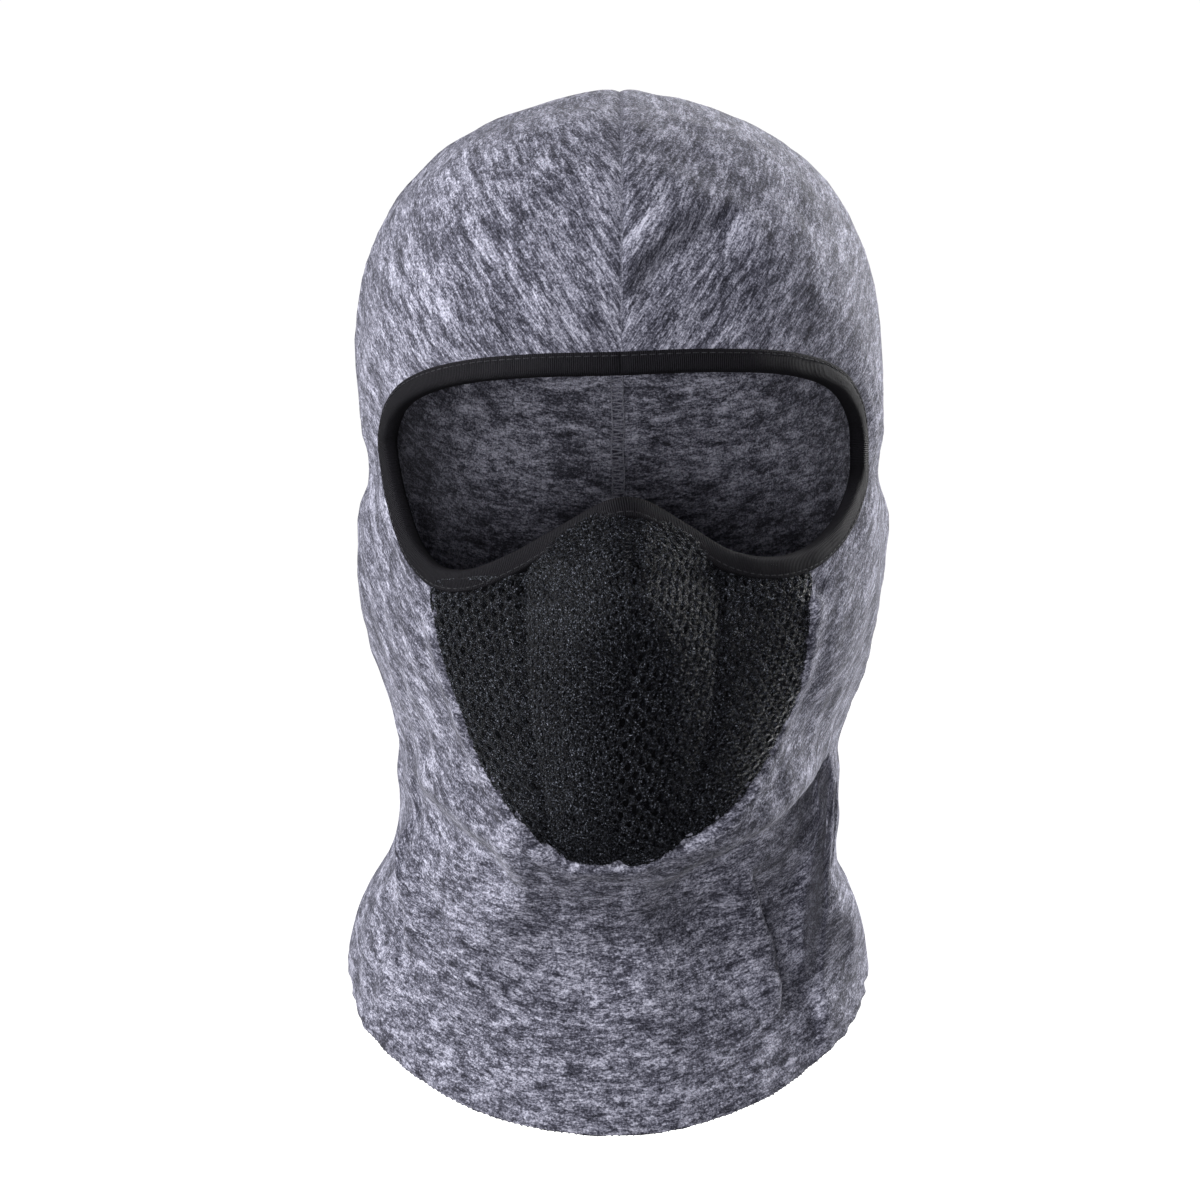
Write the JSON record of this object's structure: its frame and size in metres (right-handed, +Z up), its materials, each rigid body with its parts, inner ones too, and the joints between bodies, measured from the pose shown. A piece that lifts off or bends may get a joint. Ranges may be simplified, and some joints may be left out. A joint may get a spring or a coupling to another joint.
{
  "type": "balaclava",
  "caption": "Full-face fleece balaclava with a bound eye opening and a four-gore air mesh mask over nose and mouth, long bib at the neck.",
  "frame": {"origin": "middle of the head cavity, level with the bridge of the nose (mount wearer_head)", "axes": "+Z up through the crown, -Y out of the face, +X to the wearer's left side"},
  "size_m": [0.1646, 0.2225, 0.3151],
  "materials": {
    "fleece": "matte",
    "binding_knit": "matte",
    "air_mesh": "satin",
    "grey_thread": "satin",
    "black_thread": "satin"
  },
  "bodies": {
    "root": {"fleece_hood": "fleece", "eye_binding": "binding_knit", "mask_side_left": "air_mesh", "mask_centre_left": "air_mesh", "mask_centre_right": "air_mesh", "mask_side_right": "air_mesh", "crown_seam_overlock": "grey_thread", "mask_centre_seam_overlock": "black_thread", "mask_left_seam_overlock": "black_thread", "mask_right_seam_overlock": "black_thread", "mask_edge_overlock": "grey_thread", "binding_topstitch": "black_thread", "hem_overlock": "grey_thread"}
  },
  "joints": []
}
